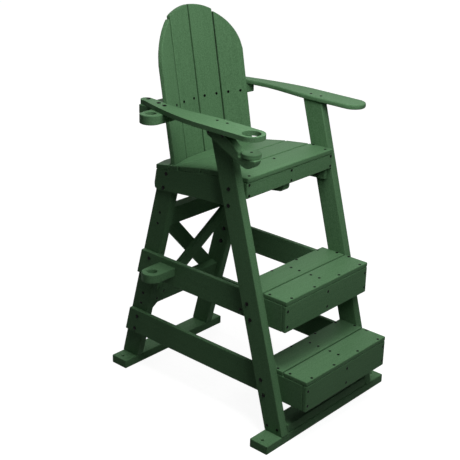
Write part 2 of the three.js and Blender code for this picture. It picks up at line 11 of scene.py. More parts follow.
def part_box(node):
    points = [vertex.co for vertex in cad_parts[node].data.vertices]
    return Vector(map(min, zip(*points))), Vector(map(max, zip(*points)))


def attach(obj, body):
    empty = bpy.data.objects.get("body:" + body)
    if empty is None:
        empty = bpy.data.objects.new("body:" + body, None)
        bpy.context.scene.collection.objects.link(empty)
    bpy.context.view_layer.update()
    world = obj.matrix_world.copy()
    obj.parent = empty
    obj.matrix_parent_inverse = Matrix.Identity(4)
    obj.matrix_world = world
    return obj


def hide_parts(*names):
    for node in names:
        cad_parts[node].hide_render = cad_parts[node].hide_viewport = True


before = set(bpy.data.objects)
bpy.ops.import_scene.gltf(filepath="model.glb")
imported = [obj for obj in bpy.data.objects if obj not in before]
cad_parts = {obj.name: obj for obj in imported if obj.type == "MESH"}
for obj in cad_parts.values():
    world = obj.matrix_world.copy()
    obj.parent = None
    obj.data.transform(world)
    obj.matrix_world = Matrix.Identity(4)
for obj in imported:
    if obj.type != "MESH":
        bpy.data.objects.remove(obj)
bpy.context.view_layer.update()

bl_info = {
    "name": "Lifeguard chair in recycled lumber",
    "version": (1, 0, 0),
    "blender": (4, 5, 0),
    "location": "View3D > Sidebar > Guard chair",
    "description": "Boards, fasteners, light and camera for the packed lifeguard chair",
    "category": "Object",
}

MM = 0.001

# Every measured place is given from the chair's middle plane and from the front
# edge of its front foot board, in millimetres.
FOOT_LOW, FOOT_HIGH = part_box("front_foot_board")
MIDDLE_X = (FOOT_LOW.x + FOOT_HIGH.x) / 2
FRONT_Y = FOOT_LOW.y

RIGHT = Vector((-1, 0, 0))
LEFT = Vector((1, 0, 0))
FORWARD = Vector((0, -1, 0))
UP = Vector((0, 0, 1))


def linear(hex_colour):
    """Turns an sRGB hex colour into linear red, green, blue and alpha."""
    digits = hex_colour.lstrip("#")
    values = [int(digits[i : i + 2], 16) / 255 for i in (0, 2, 4)]
    turned = [
        v / 12.92 if v <= 0.04045 else ((v + 0.055) / 1.055) ** 2.4 for v in values
    ]
    return (*turned, 1.0)


# ---------------------------------------------------------------- user settings


class BoardSettings(bpy.types.PropertyGroup):
    edge_ease: bpy.props.FloatProperty(
        name="Edge rounding",
        description="Radius to which the edges of every board are eased",
        default=3.6 * MM,
        min=0.5 * MM,
        max=6 * MM,
        unit="LENGTH",
    )
    wide_ease: bpy.props.FloatProperty(
        name="Wider edge rounding",
        description="Radius for the armrests and for the fronts of seat and steps",
        default=5 * MM,
        min=0.5 * MM,
        max=9 * MM,
        unit="LENGTH",
    )
    edge_steps: bpy.props.IntProperty(
        name="Edge steps",
        description="Facets across one eased edge",
        default=3,
        min=1,
        max=6,
    )
    kink: bpy.props.FloatProperty(
        name="Sharpest soft turn",
        description="Turns sharper than this between two faces are eased",
        default=math.radians(30),
        unit="ROTATION",
        subtype="ANGLE",
    )
    socket_depth: bpy.props.FloatProperty(
        name="Umbrella socket depth",
        description="Depth of the blind socket in the lower umbrella block",
        default=28 * MM,
        unit="LENGTH",
    )


class FastenerSettings(bpy.types.PropertyGroup):
    bolt_head: bpy.props.FloatProperty(
        name="Bolt head diameter",
        description="Diameter of the low round heads of the bolts",
        default=16 * MM,
        unit="LENGTH",
    )
    bolt_head_height: bpy.props.FloatProperty(
        name="Bolt head height",
        description="How far a bolt head stands off the board",
        default=3 * MM,
        unit="LENGTH",
    )
    bolt_shank: bpy.props.FloatProperty(
        name="Bolt shank diameter",
        description="Diameter of the bolts",
        default=8 * MM,
        unit="LENGTH",
    )
    nut_width: bpy.props.FloatProperty(
        name="Nut width",
        description="Width of the hexagonal nuts across their corners",
        default=17 * MM,
        unit="LENGTH",
    )
    nut_height: bpy.props.FloatProperty(
        name="Nut height",
        description="Thickness of the hexagonal nuts",
        default=7 * MM,
        unit="LENGTH",
    )
    screw_head: bpy.props.FloatProperty(
        name="Screw head diameter",
        description="Diameter of the heads of the board screws",
        default=11.5 * MM,
        unit="LENGTH",
    )
    screw_head_height: bpy.props.FloatProperty(
        name="Screw head height",
        description="How far a screw head stands off the board",
        default=1.4 * MM,
        unit="LENGTH",
    )


class FinishSettings(bpy.types.PropertyGroup):
    lumber_light: bpy.props.FloatVectorProperty(
        name="Lumber, light flecks",
        description="Lighter green of the moulded lumber",
        default=linear("#5E855F"),
        size=4,
        min=0,
        max=1,
        subtype="COLOR",
    )
    lumber_dark: bpy.props.FloatVectorProperty(
        name="Lumber, dark flecks",
        description="Darker green of the moulded lumber",
        default=linear("#4D714E"),
        size=4,
        min=0,
        max=1,
        subtype="COLOR",
    )
    fastener: bpy.props.FloatVectorProperty(
        name="Fastener coating",
        description="Near-black coating of the bolts and screws",
        default=linear("#020302"),
        size=4,
        min=0,
        max=1,
        subtype="COLOR",
    )
    emboss: bpy.props.FloatProperty(
        name="Emboss width",
        description="Width of the moulded texture's dimples as drawn",
        default=5 * MM,
        unit="LENGTH",
    )
    streak: bpy.props.FloatProperty(
        name="Streak width",
        description="Width of the faint flow streaks along a board",
        default=12 * MM,
        unit="LENGTH",
    )


class StageSettings(bpy.types.PropertyGroup):
    floor: bpy.props.FloatProperty(
        name="Floor width",
        description="Side of the square studio floor",
        default=60,
        unit="LENGTH",
    )
    key: bpy.props.FloatProperty(
        name="Key light",
        description="Strength of the soft light from straight over the chair",
        default=0.8,
    )
    top_box: bpy.props.FloatProperty(
        name="Top softbox",
        description="Watts of the small softbox over the armrests",
        default=9.5,
    )
    front_box: bpy.props.FloatProperty(
        name="Front softbox",
        description="Watts of the softbox before the chair on the camera's side",
        default=18,
    )
    rear_fill: bpy.props.FloatProperty(
        name="Rear fill",
        description="Strength of the weak soft light on the chair's back and left",
        default=0.75,
    )
    ambient: bpy.props.FloatProperty(
        name="Room light",
        description="Strength of the even light from the studio walls",
        default=0.03,
    )
    lens: bpy.props.FloatProperty(
        name="Lens",
        description="Focal length of the camera in millimetres",
        default=82.06,
    )


# ---------------------------------------------------------------- materials

# Where the ramp between the two greens starts and ends, the streaks' share in it,
# and how much the streaks are drawn out along a board
GREEN_FROM, GREEN_TO = 0.36, 0.64
STREAK_SHARE, STREAK_DRAWN = 0.22, 0.07
SHEEN = 0.05  # a weak mirror level: mouldings and baked coatings are both matte
RUB_SCALE = 500  # per metre, so that a rub mark is about 2 mm across
RUB_FROM, RUB_TO = 0.4, 0.75
RUBBED = "#070907"


def add_node(tree, kind, settings=None, inputs=None):
    """Adds a node with its settings; an input is a value or the socket to link."""
    node = tree.nodes.new(kind)
    for key, value in (settings or {}).items():
        setattr(node, key, value)
    for key, value in (inputs or {}).items():
        if isinstance(value, bpy.types.NodeSocket):
            tree.links.new(value, node.inputs[key])
        else:
            node.inputs[key].default_value = value
    return node


def blank_material(name):
    """A new node material with nothing in it."""
    material = bpy.data.materials.new(name)
    material.use_nodes = True
    material.node_tree.nodes.clear()
    return material


def lumber_material():
    """Recycled high-density polyethylene lumber, extruded and roller-embossed.

    The eye sees a matte, slightly waxy green with a fine even fleck, very faint
    streaks of flow along each board, and no grain or gloss of its own."""
    name = "recycled_hdpe_lumber_embossed"
    if name in bpy.data.materials:
        return bpy.data.materials[name]
    finish = bpy.context.scene.guard_finish
    material = blank_material(name)
    tree = material.node_tree
    # "grain" is a place in the board in metres: along it, across it and through it.
    grain = add_node(
        tree, "ShaderNodeAttribute", {"attribute_name": "grain"}
    ).outputs["Vector"]
    tone = add_node(
        tree, "ShaderNodeAttribute", {"attribute_name": "tone"}
    ).outputs["Fac"]
    # Flow streaks are some fourteen times as long as they are wide.
    drawn = add_node(
        tree,
        "ShaderNodeVectorMath",
        {"operation": "MULTIPLY"},
        {0: grain, 1: (STREAK_DRAWN, 1, 1)},
    ).outputs["Vector"]
    streak = add_node(
        tree,
        "ShaderNodeTexNoise",
        None,
        {"Vector": drawn, "Scale": 1 / finish.streak, "Detail": 3, "Roughness": 0.55},
    ).outputs["Fac"]
    # The real emboss repeats at about 1.5 mm, which is under half a pixel of the
    # photograph, so it is drawn three times as coarse.
    fleck = add_node(
        tree,
        "ShaderNodeTexNoise",
        None,
        {"Vector": grain, "Scale": 1 / finish.emboss, "Detail": 2, "Roughness": 0.6},
    ).outputs["Fac"]
    mixed = add_node(
        tree,
        "ShaderNodeMix",
        {"data_type": "FLOAT"},
        {"Factor": STREAK_SHARE, "A": fleck, "B": streak},
    ).outputs["Result"]
    ramp = add_node(tree, "ShaderNodeValToRGB", None, {"Fac": mixed})
    ramp.color_ramp.elements[0].position = GREEN_FROM
    ramp.color_ramp.elements[0].color = finish.lumber_dark
    ramp.color_ramp.elements[1].position = GREEN_TO
    ramp.color_ramp.elements[1].color = finish.lumber_light
    colour = add_node(
        tree,
        "ShaderNodeHueSaturation",
        None,
        {"Color": ramp.outputs["Color"], "Value": tone},
    ).outputs["Color"]
    rough = add_node(
        tree,
        "ShaderNodeMapRange",
        None,
        {
            "Value": mixed,
            "From Min": 0.3,
            "From Max": 0.7,
            "To Min": 0.56,
            "To Max": 0.66,
        },
    ).outputs["Result"]
    bump = add_node(
        tree,
        "ShaderNodeBump",
        None,
        {"Strength": 0.35, "Distance": 0.4 * MM, "Height": fleck},
    ).outputs["Normal"]
    shader = add_node(
        tree,
        "ShaderNodeBsdfPrincipled",
        None,
        {
            "Base Color": colour,
            "Roughness": rough,
            "Normal": bump,
            "IOR": 1.5,
            "Specular IOR Level": SHEEN,
        },
    )
    add_node(
        tree, "ShaderNodeOutputMaterial", None, {"Surface": shader.outputs["BSDF"]}
    )
    return material


def fastener_material():
    """Stainless steel bolts and screws with a baked black coating.

    The eye sees near-black heads with a soft satin highlight, a little worn and
    therefore shinier in small patches."""
    name = "black_coated_steel"
    if name in bpy.data.materials:
        return bpy.data.materials[name]
    finish = bpy.context.scene.guard_finish
    material = blank_material(name)
    tree = material.node_tree
    place = add_node(tree, "ShaderNodeTexCoord").outputs["Object"]
    # Rub marks are small beside the heads, which are 11 to 16 mm across.
    rub = add_node(
        tree,
        "ShaderNodeTexNoise",
        None,
        {"Vector": place, "Scale": RUB_SCALE, "Detail": 2, "Roughness": 0.6},
    ).outputs["Fac"]
    ramp = add_node(tree, "ShaderNodeValToRGB", None, {"Fac": rub})
    ramp.color_ramp.elements[0].position = RUB_FROM
    ramp.color_ramp.elements[0].color = finish.fastener
    ramp.color_ramp.elements[1].position = RUB_TO
    ramp.color_ramp.elements[1].color = linear(RUBBED)
    rough = add_node(
        tree,
        "ShaderNodeMapRange",
        None,
        {"Value": rub, "From Min": 0.3, "From Max": 0.7, "To Min": 0.6, "To Max": 0.5},
    ).outputs["Result"]
    bump = add_node(
        tree,
        "ShaderNodeBump",
        None,
        {"Strength": 0.15, "Distance": 0.1 * MM, "Height": rub},
    ).outputs["Normal"]
    shader = add_node(
        tree,
        "ShaderNodeBsdfPrincipled",
        None,
        {
            "Base Color": ramp.outputs["Color"],
            "Roughness": rough,
            "Normal": bump,
            "Specular IOR Level": SHEEN,
        },
    )
    add_node(
        tree, "ShaderNodeOutputMaterial", None, {"Surface": shader.outputs["BSDF"]}
    )
    return material


# ---------------------------------------------------------------- shaping tools

# How a node's flat face is found: least likeness to the hint, least likeness of two
# triangles in one plane, and the depth that one plane may span
HINT_LIKENESS, PLANE_LIKENESS, PLANE_DEPTH = 0.8, 0.9998, 2 * MM
NORMAL_DIGITS = 3
CORNERS_PER_METRE = 20000  # corners closer than 0.05 mm are one
STRAIGHT = math.radians(0.4)  # a smaller turn leaves an edge straight
SMOOTH = math.radians(35)  # a smaller turn between faces is shaded as round
CUTTER_SPARE = 4 * MM  # how far a cutter stands out of the board
BORE_SIDES = 72

# From board to board: how far the grain's start may move in metres, and the tone;
# and how nearly a board's length may lie along the way that it faces
GRAIN_SHIFT = 5
TONES = (0.97, 1.03)
NEARLY_ALONG = 0.9

# Small measures of the fasteners: facets round them, rounding of their edges,
# recesses for the driver, necks and counterbores
HEAD_SIDES, SHANK_SIDES, SCREW_SIDES, NECK_SIDES, NUT_SIDES = 24, 16, 16, 8, 6
HEAD_ROUNDING, NUT_ROUNDING, SHANK_ROUNDING = 1.2 * MM, 0.7 * MM, 0.8 * MM
SHARP = math.radians(50)
BOLT_RECESS = {"sides": 6, "width": 5.8 * MM, "depth": 1.8 * MM}
SCREW_RECESS = {"sides": 4, "width": 4 * MM, "depth": 1 * MM}
LAG_NECK, SCREW_NECK, SCREW_NECK_WIDTH = 12 * MM, 6 * MM, 4.5 * MM
HAIR = 0.1 * MM  # keeps two faces from lying in one plane
COUNTERBORE_SPARE = 0.6 * MM


def only(piece):
    """Selects one object alone and makes it active."""
    bpy.ops.object.select_all(action="DESELECT")
    piece.select_set(True)
    bpy.context.view_layer.objects.active = piece


def apply_modifier(piece, kind, settings):
    """Adds a modifier with its settings and applies it to the mesh."""
    only(piece)
    modifier = piece.modifiers.new(kind.lower(), kind)
    for key, value in settings.items():
        setattr(modifier, key, value)
    bpy.ops.object.modifier_apply(modifier=modifier.name)


def turned_to(way):
    """The rotation that turns the z axis to a way."""
    return way.to_track_quat("Z", "Y").to_euler()


def cylinder(sides, radius, depth, place, turn=(0, 0, 0)):
    """A cylinder or prism with its middle at place, upright unless it is turned."""
    bpy.ops.object.select_all(action="DESELECT")
    bpy.ops.mesh.primitive_cylinder_add(
        vertices=sides, radius=radius, depth=depth, location=place, rotation=turn
    )
    return bpy.context.object


def cut(piece, cutter):
    """Takes the cutter's shape out of a piece and removes the cutter."""
    apply_modifier(
        piece,
        "BOOLEAN",
        {"operation": "DIFFERENCE", "object": cutter, "solver": "EXACT"},
    )
    bpy.data.objects.remove(cutter)


def middle(points):
    """Mean of some places."""
    return sum(points, Vector()) / len(points)


def flat_outline(node, hint):
    """The largest flat face of a CAD node that looks nearly along hint.

    Gives the way it faces and its closed outlines, the outer one first."""
    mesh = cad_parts[node].data
    mesh.calc_loop_triangles()
    areas = {}
    for triangle in mesh.loop_triangles:
        if triangle.normal.dot(hint) > HINT_LIKENESS:
            key = tuple(round(v, NORMAL_DIGITS) for v in triangle.normal)
            areas[key] = areas.get(key, 0) + triangle.area
    facing = Vector(max(areas, key=areas.get)).normalized()
    flat = [t for t in mesh.loop_triangles if t.normal.dot(facing) > PLANE_LIKENESS]
    height = max(
        facing.dot(middle([mesh.vertices[v].co for v in t.vertices])) for t in flat
    )
    places, ways = {}, {}
    for triangle in flat:
        corners = []
        for index in triangle.vertices:
            place = mesh.vertices[index].co
            key = tuple(round(v * CORNERS_PER_METRE) for v in place)
            places[key] = place.copy()
            corners.append(key)
        if height - facing.dot(middle([places[k] for k in corners])) > PLANE_DEPTH:
            continue
        for start, end in zip(corners, corners[1:] + corners[:1]):
            if (end, start) in ways:
                del ways[(end, start)]
            else:
                ways[(start, end)] = True
    follow = {start: end for start, end in ways}
    loops = []
    while follow:
        key = next(iter(follow))
        loop = []
        while key in follow:
            loop.append(key)
            key = follow.pop(key)
        loops.append(straightened([places[k] for k in loop]))
    loops.sort(key=lambda loop: -girth(loop))
    return facing, loops


def girth(loop):
    """Length all round a closed outline."""
    return sum((b - a).length for a, b in zip(loop, loop[1:] + loop[:1]))


def straightened(loop):
    """The outline without places that lie on a straight edge."""
    kept = []
    for before, place, after in zip(loop[-1:] + loop[:-1], loop, loop[1:] + loop[:1]):
        turn = (place - before).angle(after - place, 0.0)
        if turn > STRAIGHT:
            kept.append(place)
    return kept


def lay_grain(piece, along, facing, seed):
    """Stores each vertex's place along, across and through the board."""
    rng = random.Random(seed)
    along = along.normalized()
    # A board that is seen end on has its grain along facing.
    aside = facing if abs(facing.dot(along)) < NEARLY_ALONG else UP
    across = aside.cross(along).normalized()
    through = along.cross(across)
    shift = Vector([rng.uniform(-GRAIN_SHIFT, GRAIN_SHIFT) for _ in range(3)])
    tone = rng.uniform(*TONES)
    grain = []
    for vertex in piece.data.vertices:
        place = vertex.co
        grain += [
            shift.x + place.dot(along),
            shift.y + place.dot(across),
            shift.z + place.dot(through),
        ]
    piece.data.attributes.new("grain", "FLOAT_VECTOR", "POINT")
    piece.data.attributes.new("tone", "FLOAT", "POINT")
    piece.data.attributes["grain"].data.foreach_set("vector", grain)
    count = len(piece.data.vertices)
    piece.data.attributes["tone"].data.foreach_set("value", [tone] * count)


def bore(piece, rim, along, depth):
    """Cuts a round hole through the rim's place, down to the depth."""
    centre = middle(rim)
    radius = sum((place - centre).length for place in rim) / len(rim)
    place = centre + along * (depth - CUTTER_SPARE) / 2
    length = depth + CUTTER_SPARE
    cut(piece, cylinder(BORE_SIDES, radius, length, place, turned_to(along)))


def counterbore(piece, place, facing):
    """Cuts the shallow round seat in which a screw head lies flush."""
    sizes = bpy.context.scene.guard_fasteners
    radius = sizes.screw_head / 2 + COUNTERBORE_SPARE
    length = 2 * (sizes.screw_head_height + HAIR)
    cut(piece, cylinder(HEAD_SIDES, radius, length, place, turned_to(facing)))


def board(node, hint, seed, bores=None, ease=None, sinks=()):
    """Models one board over its CAD node: outline, thickness, holes, eased edges."""
    boards = bpy.context.scene.guard_boards
    facing, loops = flat_outline(node, hint)
    rim = loops[0]
    run = middle(flat_outline(node, -facing)[1][0]) - middle(rim)
    bpy.ops.object.select_all(action="DESELECT")
    bpy.ops.mesh.primitive_circle_add(vertices=len(rim), fill_type="NGON")
    piece = bpy.context.object
    piece.name = piece.data.name = f"{node}_lumber"
    for vertex, place in zip(piece.data.vertices, rim):
        vertex.co = place
    bpy.ops.object.mode_set(mode="EDIT")
    bpy.ops.mesh.select_all(action="SELECT")
    bpy.ops.mesh.extrude_region_move(TRANSFORM_OT_translate={"value": run})
    bpy.ops.mesh.select_all(action="SELECT")
    bpy.ops.mesh.normals_make_consistent(inside=False)
    bpy.ops.object.mode_set(mode="OBJECT")
    for hole in loops[1:] if bores else []:
        through = run.length + CUTTER_SPARE
        depth = boards.socket_depth if bores == "blind" else through
        bore(piece, hole, run.normalized(), depth)
    apply_modifier(
        piece,
        "BEVEL",
        {
            "width": ease or boards.edge_ease,
            "segments": boards.edge_steps,
            "limit_method": "ANGLE",
            "angle_limit": boards.kink,
            "use_clamp_overlap": True,
            "miter_outer": "MITER_ARC",
        },
    )
    for sink in sinks:
        place = spot(*sink)
        counterbore(piece, place + facing * (rim[0] - place).dot(facing), facing)
    bpy.ops.object.shade_smooth_by_angle(angle=SMOOTH)
    apply_modifier(piece, "WEIGHTED_NORMAL", {"keep_sharp": True})
    edges = [b - a for a, b in zip(rim, rim[1:] + rim[:1])]
    lay_grain(piece, max(edges + [run], key=lambda edge: edge.length), facing, seed)
    piece.data.materials.append(lumber_material())
    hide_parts(node)
    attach(piece, "root")
    return piece


def chamfer(piece, width, steps):
    """Rounds the sharp edges of a small turned part."""
    apply_modifier(
        piece,
        "BEVEL",
        {
            "width": width,
            "segments": steps,
            "limit_method": "ANGLE",
            "angle_limit": SHARP,
        },
    )


def recess(piece, top, sides, width, depth):
    """Cuts the socket that the driver turns into the top of a head."""
    cut(piece, cylinder(sides, width / 2, 2 * depth, (0, 0, top)))


def join(pieces, name):
    """Joins pieces into one object at the origin."""
    bpy.ops.object.select_all(action="DESELECT")
    for piece in pieces:
        piece.select_set(True)
    bpy.context.view_layer.objects.active = pieces[0]
    if len(pieces) > 1:
        bpy.ops.object.join()
    pieces[0].name = pieces[0].data.name = name
    return pieces[0]


def turned_part(sides, width, height, base):
    """A round or many-sided blank that stands on the height base."""
    part = cylinder(sides, width / 2, height, (0, 0, base + height / 2))
    bpy.ops.object.transform_apply(location=True)
    return part


def coated_pattern(parts, name):
    """Joins the parts of one fastener, shades them and gives them their coating."""
    pattern = join(parts, name)
    only(pattern)
    bpy.ops.object.shade_smooth_by_angle(angle=SMOOTH)
    pattern.data.materials.append(fastener_material())
    return pattern


def bolt_head():
    """A low round head whose underside is at the origin."""
    sizes = bpy.context.scene.guard_fasteners
    head = turned_part(HEAD_SIDES, sizes.bolt_head, sizes.bolt_head_height, 0)
    chamfer(head, HEAD_ROUNDING, steps=3)
    recess(head, sizes.bolt_head_height, **BOLT_RECESS)
    return head


def bolt_pattern(grip):
    """Models one through bolt with its nut; the head's underside is at the origin."""
    sizes = bpy.context.scene.guard_fasteners
    head = bolt_head()
    reach = grip + sizes.nut_height
    shank = turned_part(SHANK_SIDES, sizes.bolt_shank, reach, 0)
    shank.data.transform(Matrix.Translation((0, 0, -reach - HAIR)))
    chamfer(shank, SHANK_ROUNDING, steps=1)
    nut = turned_part(NUT_SIDES, sizes.nut_width, sizes.nut_height, -reach)
    chamfer(nut, NUT_ROUNDING, steps=2)
    return coated_pattern([head, shank, nut], "bolt_pattern")


def lag_pattern():
    """Models one lag bolt: a low round head on a short neck, with no nut."""
    sizes = bpy.context.scene.guard_fasteners
    head = bolt_head()
    neck = turned_part(SHANK_SIDES, sizes.bolt_shank, LAG_NECK, -LAG_NECK - HAIR)
    return coated_pattern([head, neck], "lag_pattern")


def screw_pattern():
    """Models one low screw head with a square recess and a short neck."""
    sizes = bpy.context.scene.guard_fasteners
    head = turned_part(SCREW_SIDES, sizes.screw_head, sizes.screw_head_height, 0)
    chamfer(head, NUT_ROUNDING, steps=2)
    recess(head, sizes.screw_head_height, **SCREW_RECESS)
    neck = turned_part(NECK_SIDES, SCREW_NECK_WIDTH, SCREW_NECK, -SCREW_NECK)
    return coated_pattern([head, neck], "screw_pattern")


def spot(across, back, height):
    """A measured place, in the frame's metres."""
    return Vector((MIDDLE_X + across * MM, FRONT_Y + back * MM, height * MM))


FAR_OUT = 2.0  # metres along facing from which a fastener is brought in


def seat_on(names, place, facing):
    """Where a fastener coming in against facing meets the boards, and their normal."""
    best = None
    for name in names:
        piece = bpy.data.objects[f"{name}_lumber"]
        start = place + facing * (FAR_OUT - place.dot(facing))
        hit, where, normal, _ = piece.ray_cast(start, -facing)
        if hit and (best is None or where.dot(facing) > best[0].dot(facing)):
            best = (where.copy(), normal.copy())
    if best is None:
        raise RuntimeError(f"no board of {names} under the fastener at {tuple(place)}")
    return best


def set_fastener(pattern, where, normal, rng):
    """Copies a pattern to its place, turned at random about its own axis."""
    only(pattern)
    bpy.ops.object.duplicate()
    copy = bpy.context.object
    turn = normal.to_track_quat("Z", "Y").to_matrix().to_4x4()
    spin = Matrix.Rotation(rng.uniform(0, math.tau), 4, "Z")
    copy.data.transform(Matrix.Translation(where) @ turn @ spin)
    return copy


def finish_fasteners(pieces, name, nodes=()):
    """Joins a group of fasteners into one piece that rides on the frame."""
    piece = join(pieces, name)
    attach(piece, "root")
    if nodes:
        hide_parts(*nodes)
    return piece


# ---------------------------------------------------------------- operators

# The number that each board is given is the seed of its grain and tone.
STEPS = ("lower_step", "upper_step")
SIDES = (("right", RIGHT), ("left", LEFT))
BOLT_SEED, SCREW_SEED = 7, 11

# Riser screws: places across, and how far in from the lower and the upper edge
RISER_COLUMNS = (-251, 0, 251)
RISER_LOW, RISER_HIGH = 24.5, 25


def riser_spots(step):
    """Places of the six screws in the front of a step."""
    low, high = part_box(f"{step}_riser")
    rows = (low.z / MM + RISER_LOW, high.z / MM - RISER_HIGH)
    return [(x, 0, height) for x in RISER_COLUMNS for height in rows]


class GUARDCHAIR_OT_feet(bpy.types.Operator):
    """Model the two foot boards and the stretcher on the front one"""

    bl_idname = "guardchair.feet"
    bl_label = "Feet"

    def execute(self, context):
        board("front_foot_board", UP, 11, "through")
        board("rear_foot_board", UP, 12, "through")
        board("front_foot_stretcher", FORWARD, 13)
        return {"FINISHED"}


class GUARDCHAIR_OT_legs(bpy.types.Operator):
    """Model the four leaning legs"""

    bl_idname = "guardchair.legs"
    bl_label = "Legs"

    def execute(self, context):
        for number, (side, facing) in enumerate(SIDES):
            board(f"front_leg_{side}", facing, 21 + number)
            board(f"rear_leg_{side}", facing, 23 + number)
        return {"FINISHED"}


class GUARDCHAIR_OT_steps(bpy.types.Operator):
    """Model both steps: rails, riser, cross board, joist and tread boards"""

    bl_idname = "guardchair.steps"
    bl_label = "Steps"

    def execute(self, context):
        ease = context.scene.guard_boards.wide_ease
        for number, step in enumerate(STEPS):
            seed = 31 + 10 * number
            for side, facing in SIDES:
                board(f"{step}_rail_{side}", facing, seed)
                seed += 1
            sinks = riser_spots(step)
            board(f"{step}_riser", FORWARD, seed, ease=ease, sinks=sinks)
            board(f"{step}_cross_board", RIGHT, seed + 1)
            board(f"{step}_joist", RIGHT, seed + 2)
            board(f"{step}_tread_front", UP, seed + 3)
            board(f"{step}_tread_back", UP, seed + 4)
        return {"FINISHED"}


class GUARDCHAIR_OT_seat_frame(bpy.types.Operator):
    """Model the seat's rails, apron and middle joist"""

    bl_idname = "guardchair.seat_frame"
    bl_label = "Seat frame"

    def execute(self, context):
        board("seat_rail_right", RIGHT, 51)
        board("seat_rail_left", LEFT, 52)
        ease = context.scene.guard_boards.wide_ease
        board("seat_apron", FORWARD, 53, ease=ease)
        board("seat_middle_joist", RIGHT, 54)
        return {"FINISHED"}


class GUARDCHAIR_OT_seat_boards(bpy.types.Operator):
    """Model the five boards of the dished seat"""

    bl_idname = "guardchair.seat_boards"
    bl_label = "Seat boards"

    def execute(self, context):
        for number, row in enumerate(("front", "second", "third", "fourth")):
            board(f"seat_board_{row}", UP, 61 + number)
        board("seat_rear_board", UP, 65)
        return {"FINISHED"}


class GUARDCHAIR_OT_back_slats(bpy.types.Operator):
    """Model the four slats of the arched back"""

    bl_idname = "guardchair.back_slats"
    bl_label = "Back slats"

    def execute(self, context):
        for number in range(1, 5):
            board(f"back_slat_{number}", FORWARD, 70 + number)
        return {"FINISHED"}


class GUARDCHAIR_OT_armrests(bpy.types.Operator):
    """Model the armrests and the board that carries their rear ends"""

    bl_idname = "guardchair.armrests"
    bl_label = "Armrests"

    def execute(self, context):
        ease = context.scene.guard_boards.wide_ease
        board("armrest_right", UP, 81, "through", ease)
        board("armrest_left", UP, 82, ease=ease)
        board("arm_rear_support", UP, 83)
        return {"FINISHED"}


class GUARDCHAIR_OT_umbrella_holder(bpy.types.Operator):
    """Model the upper ring block and the lower socket block"""

    bl_idname = "guardchair.umbrella_holder"
    bl_label = "Umbrella holder"

    def execute(self, context):
        board("umbrella_upper_block", UP, 91, "through")
        board("umbrella_lower_block", UP, 92, "blind")
        return {"FINISHED"}


class GUARDCHAIR_OT_cup_holder(bpy.types.Operator):
    """Model the cup's disc and the bracket that carries it"""

    bl_idname = "guardchair.cup_holder"
    bl_label = "Cup holder"

    def execute(self, context):
        board("cup_base_disc", UP, 93)
        board("cup_bracket", RIGHT, 94)
        return {"FINISHED"}


class GUARDCHAIR_OT_rear_braces(bpy.types.Operator):
    """Model the cross boards and the crossed braces between the rear legs"""

    bl_idname = "guardchair.rear_braces"
    bl_label = "Rear braces"

    def execute(self, context):
        board("rear_cross_board_upper", RIGHT, 95)
        board("rear_cross_board_lower", RIGHT, 96)
        board("rear_brace_front", FORWARD, 97)
        board("rear_brace_back", FORWARD, 98)
        return {"FINISHED"}


# Bolts through each rail and rear leg: back from the front edge, height
RAIL_BOLTS = {
    "seat": ((677.6, 959), (694.7, 895.3)),
    "upper_step": ((783.2, 555.4), (801, 491.5)),
    "lower_step": ((862.8, 253.5), (880.2, 189.2)),
}

# Lag bolts through the right arm's tail, down into the support and the ring block:
# across from the middle, back from the front edge
ARM_LAGS = ((-266.6, 774), (-279.9, 701.7), (-291.3, 658.3))


class GUARDCHAIR_OT_bolts(bpy.types.Operator):
    """Model the bolts through the rails and legs and the right armrest's lag bolts"""

    bl_idname = "guardchair.bolts"
    bl_label = "Bolts"

    def execute(self, context):
        rng = random.Random(BOLT_SEED)
        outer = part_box("upper_step_rail_right")[0].x
        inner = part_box("rear_leg_right")[1].x
        pattern = bolt_pattern(inner - outer)
        for side, facing in SIDES:
            for name in ("seat", "upper_step", "lower_step"):
                for end in ("upper", "lower"):
                    node = f"leg_bolt_{name}_{end}_{side}"
                    low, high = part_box(node)
                    place, _ = seat_on([f"front_leg_{side}"], (low + high) / 2, facing)
                    bolt = set_fastener(pattern, place, facing, rng)
                    finish_fasteners([bolt], f"{node}_steel", [node])
            for name, places in RAIL_BOLTS.items():
                bolts = []
                for back, height in places:
                    place, _ = seat_on(
                        [f"{name}_rail_{side}"], spot(0, back, height), facing
                    )
                    bolts.append(set_fastener(pattern, place, facing, rng))
                finish_fasteners(bolts, f"rail_bolts_{name}_{side}")
        bpy.data.objects.remove(pattern)
        lag = lag_pattern()
        lags = []
        for across, back in ARM_LAGS:
            place, normal = seat_on(["armrest_right"], spot(across, back, 0), UP)
            lags.append(set_fastener(lag, place, normal, rng))
        finish_fasteners(lags, "arm_lag_bolts_right")
        bpy.data.objects.remove(lag)
        return {"FINISHED"}


# Screws: places across, back and up, with 0 where the board itself gives one. The
# treads' places count from the front edge of their step, which comes first here.
UPPER_FRONT, LOWER_FRONT = 35.5, -80
TREAD_SCREWS = (
    [(x, 9.5) for x in (-221, -79, 79, 221)]
    + [(0, back) for back in (48, 90, 149.5, 192)]
    + [(x, back) for x in (-254, 254) for back in (90, 151)]
    + [(x, 227) for x in (-220, -79, 79, 220)]
)
APRON_SCREWS = [(x, 0, height) for x in (-252, 0, 252) for height in (973, 1015)]
SEAT_SCREWS = [
    (-235, 263, 0),
    (235, 263, 0),
    (0, 337, 0),
    (-256, 340, 0),
    (256, 340, 0),
]
SLAT_HEIGHT = 1213
SLAT_SCREWS = (-206.4, -157, -98.6, -31.5, 31.9, 95.7, 152.6, 206.4)
ARM_SCREWS = ((283, 386), (283, 335))
REAR_LEG_SCREWS = [(0, 736, 771), (0, 749, 720), (0, 843.6, 366.8), (0, 856.9, 315.6)]
FRONT_LEG_SCREWS = [(0, 76.3, 63), (0, 24.4, 63)]
UPPER_RAIL_SCREW = [(0, 265, 494.5)]
